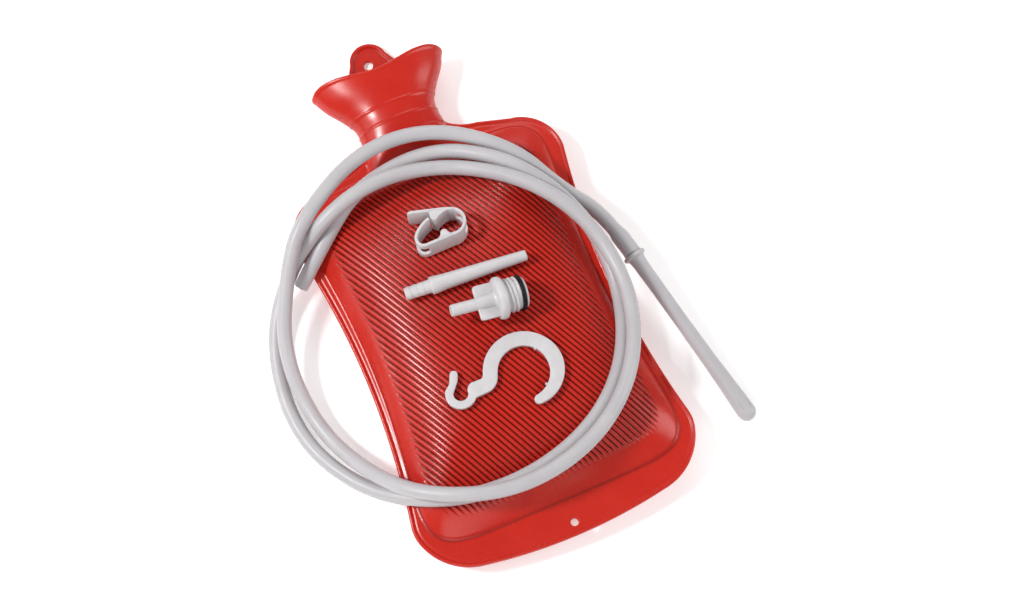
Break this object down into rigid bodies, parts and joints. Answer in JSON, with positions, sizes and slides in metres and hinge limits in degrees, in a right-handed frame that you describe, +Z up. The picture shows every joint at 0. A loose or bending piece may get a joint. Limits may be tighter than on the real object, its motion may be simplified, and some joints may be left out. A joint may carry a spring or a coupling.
{
  "type": "rubber irrigation bag kit",
  "caption": "Moulded rubber water bag with a wide filling funnel and hanging tab, carrying a coiled hose, nozzles, a screw-in adaptor, a pinch clamp and a hook.",
  "frame": {"origin": "on the surface that the bag lies on, under the middle of the bag and its hanging tab", "axes": "+Y out of the filling mouth, +Z up through the ribbed front wall, +X to the right of the bag seen from above"},
  "size_m": [0.2912, 0.38, 0.073],
  "materials": {
    "red_rubber": "satin moulded rubber",
    "brass_insert": "plain turned brass",
    "white_hose": "satin flexible vinyl",
    "white_plastic": "moulded white plastic",
    "black_seal": "black seal rubber"
  },
  "bodies": {
    "bag": {"bag_front_wall": "red_rubber", "bag_back_wall": "red_rubber", "mouth_funnel": "red_rubber", "neck_insert": "brass_insert", "hanging_tab": "red_rubber"},
    "hose": {"hose": "white_hose"},
    "long_nozzle": {"long_nozzle": "white_hose"},
    "short_nozzle": {"short_nozzle": "white_plastic"},
    "adaptor": {"adaptor": "white_plastic", "adaptor_seal_ring": "black_seal"},
    "s_hook": {"s_hook": "white_plastic"},
    "clamp_frame": {"clamp_frame": "white_plastic"},
    "clamp_lever": {"clamp_lever": "white_plastic"}
  },
  "joints": [
    {"name": "hose_lift", "type": "slide", "parent": "bag", "child": "hose", "axis": [0, 0, 1], "range_m": [0, 0.06]},
    {"name": "nozzle_pull", "type": "slide", "parent": "hose", "child": "long_nozzle", "axis": [0.2068, -0.9719, -0.1123], "range_m": [0, 0.02]},
    {"name": "short_nozzle_lift", "type": "slide", "parent": "bag", "child": "short_nozzle", "axis": [0, 0, 1], "range_m": [0, 0.06]},
    {"name": "adaptor_lift", "type": "slide", "parent": "bag", "child": "adaptor", "axis": [0, 0, 1], "range_m": [0, 0.06]},
    {"name": "hook_lift", "type": "slide", "parent": "bag", "child": "s_hook", "axis": [0, 0, 1], "range_m": [0, 0.06]},
    {"name": "clamp_lift", "type": "slide", "parent": "bag", "child": "clamp_frame", "axis": [0, 0, 1], "range_m": [0, 0.06]},
    {"name": "clamp_pinch", "type": "hinge", "parent": "clamp_frame", "child": "clamp_lever", "pos_m": [0.00645, 0.03428, 0.05043], "axis": [0, 0.1478, 0.989], "range_deg": [0, 10], "stiffness_Nm_per_rad": 0.02}
  ]
}
